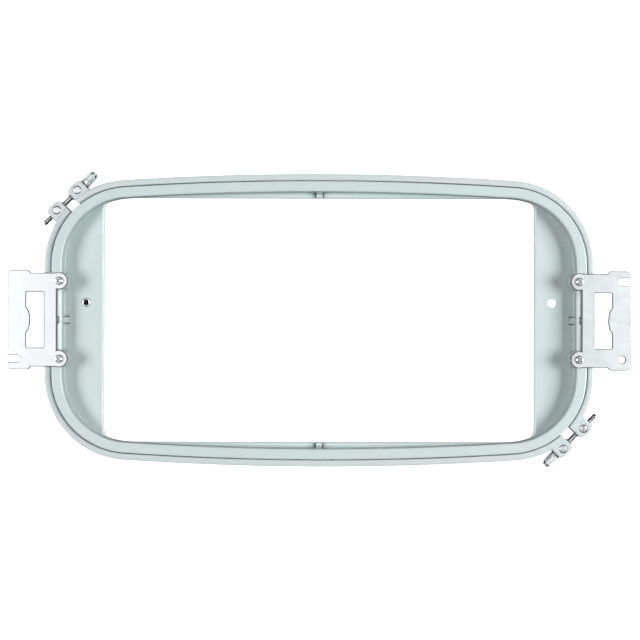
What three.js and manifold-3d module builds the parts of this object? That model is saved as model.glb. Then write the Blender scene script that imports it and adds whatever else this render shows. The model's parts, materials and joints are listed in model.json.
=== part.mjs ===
// Large rectangular embroidery frame for a multi-needle machine, 360 x 200 mm sewing field.
// An inner frame with side panels and two steel brackets sits in a two-part outer ring, whose
// halves are drawn together by a knurled screw at two opposite corners.
// Millimetres. Origin: centre of the frame on the fabric plane. +X along the length,
// +Y towards the upper side, +Z up, away from the fabric.

import * as THREE from "three";
import { mergeVertices } from "three/addons/utils/BufferGeometryUtils.js";
import Module from "manifold-3d";

const wasm = await Module();
wasm.setup();

// ---- driving dimensions -------------------------------------------------
// Outline of the outer ring: a rectangle with bowed sides and round corners.
const HALF_LENGTH = 233.9; // at the middle of the short sides
const HALF_WIDTH = 124.6; // at the middle of the long sides
const LONG_SIDE_R = 2566;
const SHORT_SIDE_R = 9000;
const CORNER_R = 72.3;
// Straight steps per quarter of the outline.
const LONG_STEPS = 4;
const CORNER_STEPS = 12;
const SHORT_STEPS = 1;

// Offsets inward from that outline.
const OUTER_RING_W = 5.6;
const FABRIC_GAP = 0.8; // room for the cloth between the rings
const INNER_OUT = OUTER_RING_W + FABRIC_GAP; // outer face of the inner ring
const INNER_IN = 15.0; // inner face of the inner ring

// Heights.
const INNER_TOP = 15.0;
const OUTER_Z0 = 0.5;
const OUTER_Z1 = 12.5;
const PANEL_T = 2.2;
const RING_CHAMFER = 0.6;

// Tension corners, each in a frame turned about Z: u along the screw, v outward.
// head and nut are the u of the lugs at the knob end and at the threaded end.
const LUG_SPACING = 24.4;
const tensionCorner = (deg, head) => ({ deg, head, nut: head - LUG_SPACING });
const TENSION_CORNERS = {
  a: tensionCorner(45, -67.8), // upper left
  b: tensionCorner(225, -70.0), // lower right
};
const SCREW_V = 224.3;
const SCREW_Z = 6.3;
const SCREW_R = 2.0;
const LUG_HALF = 14.6 / 2; // half length along u

// Bracket screws and the bosses that take them.
const BRACKET_SCREW_X = 220.5;
const BRACKET_SCREW_Y = 33.0;
const BRACKET_Z0 = INNER_TOP + 0.05;
const BRACKET_T = 2.0;
const INSERT_R = 2.9;
const INSERT_L = 8.0;

// Round holes in the side panels.
const PANEL_HOLE_X = 200.3;
const PANEL_HOLE_Y = 15.0;
const PANEL_HOLE_R = 3.75;

// ---- helpers ------------------------------------------------------------
const rad = THREE.MathUtils.degToRad;
const SIDES = [1, -1];
const QUADRANTS = [[1, 1], [-1, 1], [-1, -1], [1, -1]]; // signs of x and y, counterclockwise

// Welds a geometry's corners by position alone, so that it closes into a solid.
function solid(geometry) {
  const bare = new THREE.BufferGeometry()
    .setAttribute("position", geometry.attributes.position)
    .setIndex(geometry.index);
  const welded = mergeVertices(bare, 1e-4);
  return new wasm.Manifold(
    new wasm.Mesh({
      numProp: 3,
      vertProperties: welded.attributes.position.array,
      triVerts: new Uint32Array(welded.index.array),
    }),
  );
}

function geometryOf(body) {
  const mesh = body.getMesh();
  return new THREE.BufferGeometry()
    .setAttribute("position", new THREE.BufferAttribute(new Float32Array(mesh.vertProperties), 3))
    .setIndex(new THREE.BufferAttribute(new Uint32Array(mesh.triVerts), 1));
}

// Subtract or add a list of geometries.
const cut = (body, tools) => tools.reduce((rest, tool) => rest.subtract(solid(tool)), body);
const join = (body, parts) => parts.reduce((sum, part) => sum.add(solid(part)), body);

// Extrudes a list of points, less the holes, from z0 to z1, with both rims chamfered.
function plate(points, holes, z0, z1, chamfer = 0) {
  const shape = new THREE.Shape(points);
  shape.holes = holes.map((hole) => new THREE.Path(hole));
  return new THREE.ExtrudeGeometry(shape, {
    depth: z1 - z0 - 2 * chamfer,
    bevelEnabled: chamfer > 0,
    bevelThickness: chamfer,
    bevelSize: chamfer,
    bevelOffset: -chamfer,
    bevelSegments: 1,
  }).translate(0, 0, z0 + chamfer);
}

function box(x0, x1, y0, y1, z0, z1) {
  return new THREE.BoxGeometry(x1 - x0, y1 - y0, z1 - z0)
    .translate((x0 + x1) / 2, (y0 + y1) / 2, (z0 + z1) / 2);
}

// Cylinder along Z.
function upright(x, y, radius, z0, z1, segments = 20) {
  return new THREE.CylinderGeometry(radius, radius, z1 - z0, segments)
    .rotateX(Math.PI / 2)
    .translate(x, y, (z0 + z1) / 2);
}

// Cylinder on the axis of a tension screw.
function alongScrew(u0, u1, radius, segments = 16) {
  return new THREE.CylinderGeometry(radius, radius, u1 - u0, segments)
    .rotateZ(-Math.PI / 2)
    .translate((u0 + u1) / 2, SCREW_V, SCREW_Z);
}

// Solid of revolution from [radius, height] pairs running up the outside, closed on the axis.
function turned(profile, segments) {
  const closed = [[0, profile[0][1]], ...profile, [0, profile.at(-1)[1]]];
  const points = closed.map(([radius, height]) => new THREE.Vector2(radius, height));
  return new THREE.LatheGeometry(points, segments);
}

const turnedUpright = (profile, segments) => turned(profile, segments).rotateX(Math.PI / 2);

// Heights of the profile run along +u, from the given u.
const turnedAlongScrew = (profile, segments, u = 0) =>
  turned(profile, segments).rotateZ(-Math.PI / 2).translate(u, SCREW_V, SCREW_Z);

// ---- outlines -----------------------------------------------------------
// Centres of the side circles, on the Y axis and on the X axis.
const LONG_CENTRE_Y = HALF_WIDTH - LONG_SIDE_R;
const SHORT_CENTRE_X = HALF_LENGTH - SHORT_SIDE_R;

// Corner centre in the first quadrant: the corner circle touches both side circles inside.
const CORNER_CENTRE = (() => {
  const toLong = LONG_SIDE_R - CORNER_R;
  const toShort = SHORT_SIDE_R - CORNER_R;
  const apart = Math.hypot(SHORT_CENTRE_X, LONG_CENTRE_Y);
  const along = (toLong ** 2 - toShort ** 2 + apart ** 2) / (2 * apart);
  const across = Math.sqrt(toLong ** 2 - along ** 2);
  // Unit vector from the long side's centre to the short side's.
  const x = SHORT_CENTRE_X / apart;
  const y = -LONG_CENTRE_Y / apart;
  return new THREE.Vector2(along * x + across * y, LONG_CENTRE_Y + along * y - across * x);
})();

// Points at equal angles from a0 up to and including a1.
function arc(x, y, radius, a0, a1, steps) {
  return Array.from({ length: steps + 1 }, (_, i) => {
    const angle = a0 + ((a1 - a0) * i) / steps;
    return new THREE.Vector2(x + radius * Math.cos(angle), y + radius * Math.sin(angle));
  });
}

// The outline moved inward, counterclockwise, as points.
function outline(inward) {
  const { x, y } = CORNER_CENTRE;
  const longAngle = Math.atan2(y - LONG_CENTRE_Y, x);
  const shortAngle = Math.atan2(y, x - SHORT_CENTRE_X);
  const quarter = [
    ...arc(SHORT_CENTRE_X, 0, SHORT_SIDE_R - inward, 0, shortAngle, SHORT_STEPS).slice(0, -1),
    ...arc(x, y, CORNER_R - inward, shortAngle, longAngle, CORNER_STEPS).slice(0, -1),
    ...arc(0, LONG_CENTRE_Y, LONG_SIDE_R - inward, longAngle, Math.PI / 2, LONG_STEPS),
  ];
  const left = quarter.slice(0, -1).reverse().map((p) => new THREE.Vector2(-p.x, p.y));
  const upper = [...quarter, ...left];
  const lower = upper.slice(1, -1).reverse().map((p) => new THREE.Vector2(p.x, -p.y));
  return [...upper, ...lower];
}

function roundedRect(halfX, halfY, radius, steps) {
  return QUADRANTS.flatMap(([sx, sy], i) =>
    arc(sx * (halfX - radius), sy * (halfY - radius), radius, rad(90 * i), rad(90 * i + 90), steps),
  );
}

// ---- outer ring ---------------------------------------------------------
const LUG = {
  root: 208, // v where the lug starts, well inside the ring
  foot: 214.5, // v of the fillet's foot
  fillet: 3.4,
  outer: 230.4, // v of the outer face
  crown: 1.3,
  cornerR: 2.2,
  top: 11.8,
  chamfer: 0.4,
  boreR: 3.5, // upright bore for the barrel
  screwHoleR: 2.8,
};

// Crowned outer face with round corners, and a fillet to the ring on the far side.
// far is the direction along u that leads away from the parting gap.
function lug(u, far) {
  const { foot, fillet, crown, cornerR } = LUG;
  const half = LUG_HALF;
  const edge = LUG.outer - crown;
  const at = (du, v) => [u + far * du, v];
  const shape = new THREE.Shape();
  shape.moveTo(...at(-half, LUG.root));
  shape.lineTo(...at(half + fillet, LUG.root));
  shape.lineTo(...at(half + fillet, foot - 0.6));
  shape.quadraticCurveTo(...at(half, foot + 0.6), ...at(half, foot + fillet + 0.8));
  shape.lineTo(...at(half, edge - cornerR));
  shape.quadraticCurveTo(...at(half, edge + 0.1), ...at(half - cornerR, edge + 0.3));
  shape.quadraticCurveTo(...at(0, LUG.outer + crown / 2), ...at(-half + cornerR, edge + 0.3));
  shape.quadraticCurveTo(...at(-half, edge + 0.1), ...at(-half, edge - cornerR));
  return plate(shape.getPoints(3), [], OUTER_Z0, LUG.top, LUG.chamfer);
}

const lugHoles = (u) => [
  upright(u, SCREW_V, LUG.boreR, OUTER_Z0 - 1, LUG.top + 2),
  alongScrew(u - LUG_HALF - 2, u + LUG_HALF + 2, LUG.screwHoleR),
];

const partingGap = ({ deg, head, nut }) =>
  box(nut + LUG_HALF, head - LUG_HALF, 195, 245, -5, 30).rotateZ(rad(deg));

const gapMiddle = ({ deg, head, nut }) =>
  new THREE.Vector2((nut + head) / 2, 217).rotateAround(new THREE.Vector2(), rad(deg));

// The half with the knob end at corner atHead and the threaded end at corner atNut.
function outerHalf(atHead, atNut) {
  const ring = solid(
    plate(outline(0), [outline(OUTER_RING_W)], OUTER_Z0, OUTER_Z1, RING_CHAMFER),
  );
  // The parting line joins the middles of the two gaps; the half lies to its left.
  const start = gapMiddle(atHead);
  const end = gapMiddle(atNut);
  const keep = box(-400, 900, 0, 600, -10, 40)
    .rotateZ(Math.atan2(end.y - start.y, end.x - start.x))
    .translate(start.x, start.y, 0);
  let half = cut(ring, [partingGap(atHead), partingGap(atNut)]).intersect(solid(keep));

  const lugs = [
    { deg: atHead.deg, u: atHead.head, far: 1 },
    { deg: atNut.deg, u: atNut.nut, far: -1 },
  ];
  const inside = solid(plate(outline(OUTER_RING_W), [], -5, 30));
  for (const { deg, u, far } of lugs)
    half = half.add(solid(lug(u, far).rotateZ(rad(deg))).subtract(inside));
  return cut(half, lugs.flatMap(({ deg, u }) => lugHoles(u).map((hole) => hole.rotateZ(rad(deg)))));
}

// ---- inner frame --------------------------------------------------------
const CHANNEL_WALL = 2.6; // thickness of the two walls beside the channel
const WEB_T = 2.8; // top web over the channel
const RIB_HALF = 0.9;
const CROSS_RIB_XS = [-150, -100, -50, 0, 50, 100, 150];
const CORNER_RIB_DEGS = [30, 60];
const OPENING = { halfX: 185.2, halfY: 105.0, radius: 12.0, steps: 4 };
const BOSS_R = 7.7;
const INSERT_CLEARANCE = 0.06;
const BORE_EXTRA_DEPTH = 1.2; // below the insert
const MARK = {
  width: 5,
  overlap: 0.8, // sunk into the wall
  height: 5.2, // of the flat end
  flat: 2.0,
  slopeTop: 11.5,
  shortSideL: 4.5,
  longSideL: 4.3,
};
const NOTCH = { halfWidth: 2.6, length: 5.2, depth: 0.7 };

// Ribs that break up the channel on the underside.
function channelRibs() {
  const rib = (x0, x1, y0, y1) => box(x0, x1, y0, y1, -1, INNER_TOP - 1);
  const ribs = CROSS_RIB_XS.map((x) => rib(x - RIB_HALF, x + RIB_HALF, -130, 130));
  ribs.push(rib(-240, 240, -RIB_HALF, RIB_HALF));
  for (const deg of CORNER_RIB_DEGS)
    for (const [sx, sy] of QUADRANTS) {
      const angle = Math.atan2(sy * Math.sin(rad(deg)), sx * Math.cos(rad(deg)));
      ribs.push(
        rib(40, 80, -RIB_HALF, RIB_HALF)
          .rotateZ(angle)
          .translate(sx * CORNER_CENTRE.x, sy * CORNER_CENTRE.y, 0),
      );
    }
  return ribs;
}

// Ring with an open channel on the underside.
function innerRing() {
  const ring = solid(
    plate(outline(INNER_OUT), [outline(INNER_IN)], 0, INNER_TOP, RING_CHAMFER),
  );
  const channel = plate(
    outline(INNER_OUT + CHANNEL_WALL),
    [outline(INNER_IN - CHANNEL_WALL)],
    -1,
    INNER_TOP - WEB_T,
  );
  return ring.subtract(cut(solid(channel), channelRibs()));
}

// Side panels and the narrow ledge along the long sides, with the opening between them.
function panels() {
  const { halfX, halfY, radius, steps } = OPENING;
  const opening = plate(roundedRect(halfX, halfY, radius, steps), [], -1, PANEL_T + 1);
  return cut(solid(plate(outline(INNER_IN - 0.5), [], 0, PANEL_T)), [opening]);
}

// Centre mark: a block that slopes up to the wall at x = 0, drawn for the +X side.
function centreMark(length) {
  const bottom = PANEL_T - 0.5;
  const profile = [
    [MARK.overlap, bottom],
    [-length, bottom],
    [-length, MARK.height],
    [-length + MARK.flat, MARK.height],
    [MARK.overlap, MARK.slopeTop],
  ].map(([x, z]) => new THREE.Vector2(x, z));
  return plate(profile, [], -MARK.width / 2, MARK.width / 2).rotateX(Math.PI / 2);
}

function innerFrame() {
  let frame = innerRing().add(panels());

  // Bracket screw bosses, kept inside the inner ring's outer face.
  const within = solid(plate(outline(INNER_OUT), [], -5, 40));
  const boreR = INSERT_R + INSERT_CLEARANCE;
  const boreZ0 = INNER_TOP - INSERT_L - BORE_EXTRA_DEPTH;
  for (const [sx, sy] of QUADRANTS) {
    const x = sx * BRACKET_SCREW_X;
    const y = sy * BRACKET_SCREW_Y;
    const boss = solid(upright(x, y, BOSS_R, 0, INNER_TOP)).intersect(within);
    frame = cut(frame.add(boss), [upright(x, y, boreR, boreZ0, INNER_TOP + 1, 14)]);
  }

  const wallX = HALF_LENGTH - INNER_IN;
  const wallY = HALF_WIDTH - INNER_IN;
  frame = join(frame, [
    centreMark(MARK.shortSideL).translate(wallX, 0, 0),
    centreMark(MARK.shortSideL).rotateZ(Math.PI).translate(-wallX, 0, 0),
    centreMark(MARK.longSideL).rotateZ(Math.PI / 2).translate(0, wallY, 0),
    centreMark(MARK.longSideL).rotateZ(-Math.PI / 2).translate(0, -wallY, 0),
  ]);

  // A shallow notch in the top of each short side, in line with the marks, open inward.
  const { halfWidth, length, depth } = NOTCH;
  const notch = () =>
    box(wallX - 2, wallX + length, -halfWidth, halfWidth, INNER_TOP - depth, INNER_TOP + 1);
  return cut(frame, [
    notch(),
    notch().rotateZ(Math.PI),
    ...SIDES.map((sx) =>
      upright(sx * PANEL_HOLE_X, PANEL_HOLE_Y, PANEL_HOLE_R, -1, PANEL_T + 1),
    ),
  ]);
}

// ---- brackets -----------------------------------------------------------
const LOBE_R = 7.2;
const BRACKET = {
  innerX: 222.6, // straight inner edge between the lobes
  outerX: 264.1,
  stepX: 246.2, // step in the long edges
  narrowY: BRACKET_SCREW_Y + LOBE_R - 0.5, // half widths before and beyond the step
  wideY: 42.2,
  cornerR: 4.0,
  lobeJoin: 2.6, // from the screw to where the lobe meets the long edge, in x
  slotX: 256, // centre of the slot's round end
  slotR: 3.1,
  screwHoleR: 2.3,
};
const LOCATING_HOLE = { x: 256.4, radius: 3.15 };
const WINDOW = { x0: 233.2, x1: 248.4, halfY: 23.7, chamfer: 1.0, tabHalf: 10.9 };
// Crowned tab that stands into the window, as x, y.
const TAB_POINTS = [[246.3, -7.6], [245.0, -4], [244.5, 0], [245.0, 4], [246.3, 7.6]];

function bracketOutline() {
  const { innerX, outerX, stepX, narrowY, wideY, cornerR, lobeJoin, slotX, slotR } = BRACKET;
  const screwX = BRACKET_SCREW_X;
  const screwY = BRACKET_SCREW_Y;
  const quarterTurn = Math.PI / 2;
  const fullTurn = 2 * Math.PI;
  const edgeAngle = Math.acos(lobeJoin / LOBE_R);
  const innerAngle = Math.acos((innerX - screwX) / LOBE_R);
  const shape = new THREE.Shape();
  shape.moveTo(screwX + lobeJoin, -narrowY);
  shape.lineTo(stepX - 2, -narrowY);
  shape.lineTo(stepX + 0.4, -wideY);
  shape.lineTo(outerX - cornerR, -wideY);
  shape.absarc(outerX - cornerR, -wideY + cornerR, cornerR, -quarterTurn, 0, false);
  // Slot, open at the outer edge.
  shape.lineTo(outerX, screwY - slotR);
  shape.lineTo(slotX, screwY - slotR);
  shape.absarc(slotX, screwY, slotR, -quarterTurn, quarterTurn, true);
  shape.lineTo(outerX, screwY + slotR);
  shape.absarc(outerX - cornerR, wideY - cornerR, cornerR, 0, quarterTurn, false);
  shape.lineTo(stepX + 0.4, wideY);
  shape.lineTo(stepX - 2, narrowY);
  shape.lineTo(screwX + lobeJoin, narrowY);
  // Upper lobe, inner edge, lower lobe.
  shape.absarc(screwX, screwY, LOBE_R, edgeAngle, Math.PI, false);
  shape.absarc(screwX, screwY, LOBE_R, Math.PI, fullTurn - innerAngle, false);
  shape.lineTo(innerX, -screwY + LOBE_R * Math.sin(innerAngle));
  shape.absarc(screwX, -screwY, LOBE_R, innerAngle, Math.PI, false);
  shape.absarc(screwX, -screwY, LOBE_R, Math.PI, fullTurn - edgeAngle, false);
  return shape.getPoints(4);
}

function bracketWindow() {
  const { x0, x1, halfY, chamfer, tabHalf } = WINDOW;
  return [
    [x0 + chamfer, -halfY],
    [x1 - chamfer, -halfY],
    [x1, -halfY + chamfer],
    [x1, -tabHalf],
    ...TAB_POINTS,
    [x1, tabHalf],
    [x1, halfY - chamfer],
    [x1 - chamfer, halfY],
    [x0 + chamfer, halfY],
    [x0, halfY - chamfer],
    [x0, -halfY + chamfer],
  ].map(([x, y]) => new THREE.Vector2(x, y));
}

// Flat steel plate, drawn for the +X side: two lobes over the bosses, a window and a slot
// for the machine's arm, and on one bracket a round locating hole.
function bracket(hasLocatingHole) {
  const circle = (x, y, radius, segments) =>
    arc(x, y, radius, 0, 2 * Math.PI, segments).slice(0, -1);
  const holes = [
    bracketWindow(),
    ...SIDES.map((sy) =>
      circle(BRACKET_SCREW_X, sy * BRACKET_SCREW_Y, BRACKET.screwHoleR, 14),
    ),
  ];
  if (hasLocatingHole)
    holes.push(circle(LOCATING_HOLE.x, -BRACKET_SCREW_Y, LOCATING_HOLE.radius, 18));
  return solid(plate(bracketOutline(), holes, BRACKET_Z0, BRACKET_Z0 + BRACKET_T));
}

// Pan-head cross-recess M4 screw, its seat at z = 0.
function bracketScrew() {
  const profile = [
    [1.5, -9.0], [1.95, -8.5], [1.95, 0], // shank
    [3.4, 0], [3.4, 1.1], [3.0, 1.8], [2.3, 2.15], [0.9, 2.3], // head
  ];
  const recess = [45, 135].map((deg) =>
    box(-1.9, 1.9, -0.45, 0.45, 1.0, 3).rotateZ(rad(deg)),
  );
  return cut(solid(turnedUpright(profile, 14)), recess);
}

// Brass insert with an M4 bore, just below z = 0.
function threadInsert() {
  const bore = upright(0, 0, 2.25, -INSERT_L - 1, 1, 14);
  return cut(solid(upright(0, 0, INSERT_R, -INSERT_L, -0.1, 14)), [bore]);
}

// ---- tension corner parts, in the u, v, z frame --------------------------
const TAIL = 16.2; // shank beyond the nut barrel's axis
const KNOB_R = 4.0;
const KNOB_L = 12.6;
const KNOB_GAP = 0.95; // lug face to knob, with the washer in between
const SHANK_IN_KNOB = 8;
const GROOVE = { radius: 1.5, near: 0.5, far: 1.5 }; // distances from the lug's gap face
const RETAINING_RING = { near: 0.65, far: 1.35, outerR: 3.3, boreR: 1.6, openHalf: 1.2 };
const WASHER = { near: 0.15, far: 0.75, outerR: 4.3, clearance: 0.15 };
const BARREL = { radius: 3.2, length: 10.8, holeR: 2.3, chamfer: 0.4 };
const BARREL_SLOT = { depth: 1.1, halfWidth: 0.55 };

// Plain shank with a groove for the retaining ring next to the head-side lug.
function tensionScrew({ head, nut }) {
  const face = head - LUG_HALF;
  const profile = [
    [1.5, nut - TAIL],
    [SCREW_R, nut - TAIL + 0.6],
    [SCREW_R, face - GROOVE.far],
    [GROOVE.radius, face - GROOVE.far],
    [GROOVE.radius, face - GROOVE.near],
    [SCREW_R, face - GROOVE.near],
    [SCREW_R, head + LUG_HALF + KNOB_GAP + SHANK_IN_KNOB],
  ];
  return solid(turnedAlongScrew(profile, 16));
}

function knob({ head }) {
  const u = head + LUG_HALF + KNOB_GAP;
  const profile = [
    [KNOB_R - 0.4, 0],
    [KNOB_R, 0.5],
    [KNOB_R - 0.35, KNOB_L - 2.2],
    [KNOB_R - 1.5, KNOB_L - 1.0],
    [KNOB_R - 1.9, KNOB_L - 0.2],
    [KNOB_R - 2.6, KNOB_L],
  ];
  const bore = alongScrew(u - 1, u + SHANK_IN_KNOB + 0.4, SCREW_R + 0.08);
  return cut(solid(turnedAlongScrew(profile, 20, u)), [bore]);
}

function knobWasher({ head }) {
  const face = head + LUG_HALF;
  const disc = alongScrew(face + WASHER.near, face + WASHER.far, WASHER.outerR, 20);
  return cut(solid(disc), [alongScrew(face - 1, face + 2, SCREW_R + WASHER.clearance)]);
}

// Its open side faces down.
function retainingRing({ head }) {
  const { near, far, outerR, boreR, openHalf } = RETAINING_RING;
  const face = head - LUG_HALF;
  const v0 = SCREW_V - openHalf;
  const v1 = SCREW_V + openHalf;
  return cut(solid(alongScrew(face - far, face - near, outerR)), [
    alongScrew(face - 3, face + 1, boreR),
    box(face - 3, face + 1, v0, v1, SCREW_Z - 5, SCREW_Z - 0.6),
  ]);
}

// Upright pin in a lug's bore, cross-drilled for the screw, with a slot in one end.
function barrel(u, slotOnTop) {
  const { radius, length, holeR, chamfer } = BARREL;
  const { depth, halfWidth } = BARREL_SLOT;
  const z0 = SCREW_Z - length / 2;
  const z1 = SCREW_Z + length / 2;
  const profile = [
    [radius - chamfer, z0],
    [radius, z0 + chamfer],
    [radius, z1 - chamfer],
    [radius - chamfer, z1],
  ];
  const [slotZ0, slotZ1] = slotOnTop ? [z1 - depth, z1 + 1] : [z0 - 1, z0 + depth];
  const slot = box(-5, 5, -halfWidth, halfWidth, slotZ0, slotZ1)
    .rotateZ(rad(45))
    .translate(u, SCREW_V, 0);
  return cut(solid(turnedUpright(profile, 20).translate(u, SCREW_V, 0)), [
    alongScrew(u - 6, u + 6, holeR),
    slot,
  ]);
}

// ---- panel bush ---------------------------------------------------------
function panelBush() {
  const radius = PANEL_HOLE_R - 0.1;
  const profile = [[radius, 0.2], [radius, PANEL_T + 0.1], [3.4, PANEL_T + 0.5]];
  return cut(solid(turnedUpright(profile, 20)), [upright(0, 0, 2.1, -1, 8, 16)]);
}

const bushPlug = () => solid(upright(0, 0, 1.95, 0.4, 2.5, 16));

// ---- assembly -----------------------------------------------------------
const plastic = { color: 0xcddcda, roughness: 0.42, metalness: 0 };
const steel = { color: 0xe4e9ee, roughness: 0.28, metalness: 0.9 };
const bright = { color: 0xd6d9dc, roughness: 0.2, metalness: 1 };
const brass = { color: 0xc9a24a, roughness: 0.35, metalness: 1 };
const black = { color: 0x16181a, roughness: 0.7, metalness: 0 };

function add(parent, name, body, look) {
  const mesh = new THREE.Mesh(geometryOf(body), new THREE.MeshStandardMaterial(look));
  mesh.name = name;
  parent.add(mesh);
  return mesh;
}

const root = new THREE.Group();
const { a, b } = TENSION_CORNERS;
add(root, "outer_ring_upper", outerHalf(a, b), plastic);
add(root, "outer_ring_lower", outerHalf(b, a), plastic);
add(root, "inner_frame", innerFrame(), plastic);

add(root, "bracket_right", bracket(true), steel);
add(root, "bracket_left", bracket(false), steel).rotation.z = Math.PI;

const screwBody = bracketScrew();
const insertBody = threadInsert();
const screwSeatZ = BRACKET_Z0 + BRACKET_T + 0.03;
for (const [side, sx] of [["right", 1], ["left", -1]])
  for (const [end, sy] of [["upper", 1], ["lower", -1]]) {
    const x = sx * BRACKET_SCREW_X;
    const y = sy * BRACKET_SCREW_Y;
    const place = `${side}_${end}`;
    add(root, `bracket_screw_${place}`, screwBody, bright).position.set(x, y, screwSeatZ);
    add(root, `thread_insert_${place}`, insertBody, brass).position.set(x, y, INNER_TOP);
  }

// Only the left panel's hole has a bush.
add(root, "panel_bush", panelBush(), bright).position.set(-PANEL_HOLE_X, PANEL_HOLE_Y, 0);
add(root, "bush_plug", bushPlug(), black).position.set(-PANEL_HOLE_X, PANEL_HOLE_Y, 0);

for (const [tag, corner] of Object.entries(TENSION_CORNERS)) {
  const group = new THREE.Group();
  group.rotation.z = rad(corner.deg);
  root.add(group);
  add(group, `tension_screw_${tag}`, tensionScrew(corner), bright);
  add(group, `knob_${tag}`, knob(corner), bright);
  add(group, `knob_washer_${tag}`, knobWasher(corner), bright);
  add(group, `retaining_ring_${tag}`, retainingRing(corner), bright);
  // The slots face down, except the nut barrel's at corner b.
  add(group, `pivot_barrel_${tag}`, barrel(corner.head, false), bright);
  add(group, `nut_barrel_${tag}`, barrel(corner.nut, tag === "b"), bright);
}

export default root;
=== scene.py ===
# A flat rectangular frame with bowed sides and round corners, centred on the origin and lying on
# z = 0, long sides along X. The inner frame sits inside an outer ring made of two halves, which
# tension screws draw together at the upper left (-X +Y, "a") and lower right (+X -Y, "b") corners.
# A steel bracket is screwed on each short side. Shapes are in millimetres until piece() scales.
import json
from contextlib import contextmanager
from math import acos, atan2, cos, degrees, dist, hypot, pi, radians, sin, sqrt, tan

import bmesh
import bpy
from mathutils import Matrix, Vector


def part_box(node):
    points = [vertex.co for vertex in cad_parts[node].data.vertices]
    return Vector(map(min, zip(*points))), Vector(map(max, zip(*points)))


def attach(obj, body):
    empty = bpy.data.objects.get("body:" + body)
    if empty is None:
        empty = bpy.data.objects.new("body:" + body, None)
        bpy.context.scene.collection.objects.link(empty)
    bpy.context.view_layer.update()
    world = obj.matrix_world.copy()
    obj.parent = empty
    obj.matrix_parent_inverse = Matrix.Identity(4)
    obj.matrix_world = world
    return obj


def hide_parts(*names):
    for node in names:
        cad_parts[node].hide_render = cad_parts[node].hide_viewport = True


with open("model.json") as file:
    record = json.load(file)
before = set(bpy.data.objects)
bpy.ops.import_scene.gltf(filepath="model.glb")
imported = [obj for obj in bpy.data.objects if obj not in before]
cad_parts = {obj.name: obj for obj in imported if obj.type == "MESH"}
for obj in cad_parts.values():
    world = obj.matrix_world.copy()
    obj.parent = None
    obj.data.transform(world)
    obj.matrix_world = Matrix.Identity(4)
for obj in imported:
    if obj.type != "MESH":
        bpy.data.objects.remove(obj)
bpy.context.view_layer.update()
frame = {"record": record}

BODY_OF = {n: body for body, names in frame["record"]["behaviour"]["bodies"].items() for n in names}

# ---- dimensions, millimetres ---------------------------------------------
HALF_X, HALF_Y = 233.9, 124.6
LONG_R, SHORT_R, CORNER_R = 2566.0, 9000.0, 72.3  # arcs of the outline
# Insets from the outline: the outer ring's inner face, the inner frame's outer and inner faces.
OUTER_W, FRAME_OUT, FRAME_IN = 5.6, 6.4, 15.0
WALL_T, WEB_T, PANEL_T = 2.6, 2.8, 2.2
FRAME_H, OUTER_Z0, OUTER_Z1 = 15.0, 0.5, 12.5
WALL_X, WALL_Y = HALF_X - FRAME_IN, HALF_Y - FRAME_IN  # inner wall at mid side
OPEN_X, OPEN_Y, OPEN_R = 185.2, 105.0, 12.0

# A corner's own axes are u along its tension screw and v outward from the frame's centre.
# Columns: turn of the axes in degrees, u of the knob-side lug, u of the nut-side lug.
CORNERS = {"a": (45, -67.8, -92.2), "b": (225, -70.0, -94.4)}
SCREW_V, SCREW_Z = 224.3, 6.3
LUG_L, LUG_V0, LUG_V1, LUG_Z1, LUG_FILLET = 14.6, 208.0, 230.4, 11.8, 3.4
LUG_BORE_R, LUG_SCREW_R = 3.5, 2.8
BARREL_R, BARREL_L, BARREL_HOLE_R = 3.2, 10.8, 2.3
SCREW_R, TAIL = 2.0, 16.2
THREAD_PITCH, THREAD_DEPTH = 0.7, 0.24
KNOB_R, KNOB_L, KNOB_GAP = 4.0, 12.6, 0.95

BRACKET_Z0, BRACKET_T = 15.05, 2.0
BRACKET_Z1 = BRACKET_Z0 + BRACKET_T
BOSS_X, BOSS_Y, BOSS_R, LOBE_R = 220.5, 33.0, 7.7, 7.2
INSERT_R, INSERT_L = 2.9, 8.0
PANEL_HOLE_X, PANEL_HOLE_Y, PANEL_HOLE_R = 200.3, 15.0, 3.75

BOSSES = [(sx * BOSS_X, sy * BOSS_Y) for sx in (1, -1) for sy in (1, -1)]


# ---- 2-D shapes ------------------------------------------------------------
def corner_centre():
    """Centre of the +X +Y corner arc, which touches both side arcs from inside."""
    long_y, short_x = HALF_Y - LONG_R, HALF_X - SHORT_R
    from_long, from_short = LONG_R - CORNER_R, SHORT_R - CORNER_R
    apart = hypot(short_x, long_y)
    along = (from_long * from_long - from_short * from_short + apart * apart) / (2 * apart)
    across = sqrt(from_long * from_long - along * along)
    dir_x, dir_y = short_x / apart, -long_y / apart
    return along * dir_x + across * dir_y, long_y + along * dir_y - across * dir_x


CORNER_X, CORNER_Y = corner_centre()


def outline(d):
    """The frame's outline moved inward by d."""
    long_y, short_x = HALF_Y - LONG_R, HALF_X - SHORT_R
    to_long = atan2(CORNER_Y - long_y, CORNER_X)
    to_short = atan2(CORNER_Y, CORNER_X - short_x)
    quarter = []
    for x, y, full_r, start, end, steps in (
        (short_x, 0, SHORT_R, 0, to_short, 10),
        (CORNER_X, CORNER_Y, CORNER_R, to_short, to_long, 44),
        (0, long_y, LONG_R, to_long, pi / 2, 40),
    ):
        radius = full_r - d
        for i in range(steps):
            angle = start + (end - start) * i / steps
            quarter.append((x + radius * cos(angle), y + radius * sin(angle)))
    quarter.append((0.0, HALF_Y - d))
    top = quarter + [(-x, y) for x, y in reversed(quarter[:-1])]
    return top + [(x, -y) for x, y in reversed(top[1:-1])]


def arc(x, y, radius, start, end, steps):
    turns = [radians(start + (end - start) * i / steps) for i in range(steps + 1)]
    return [(x + radius * cos(t), y + radius * sin(t)) for t in turns]


def circle(x, y, radius, steps):
    return arc(x, y, radius, 0, 360, steps)[:-1]


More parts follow.
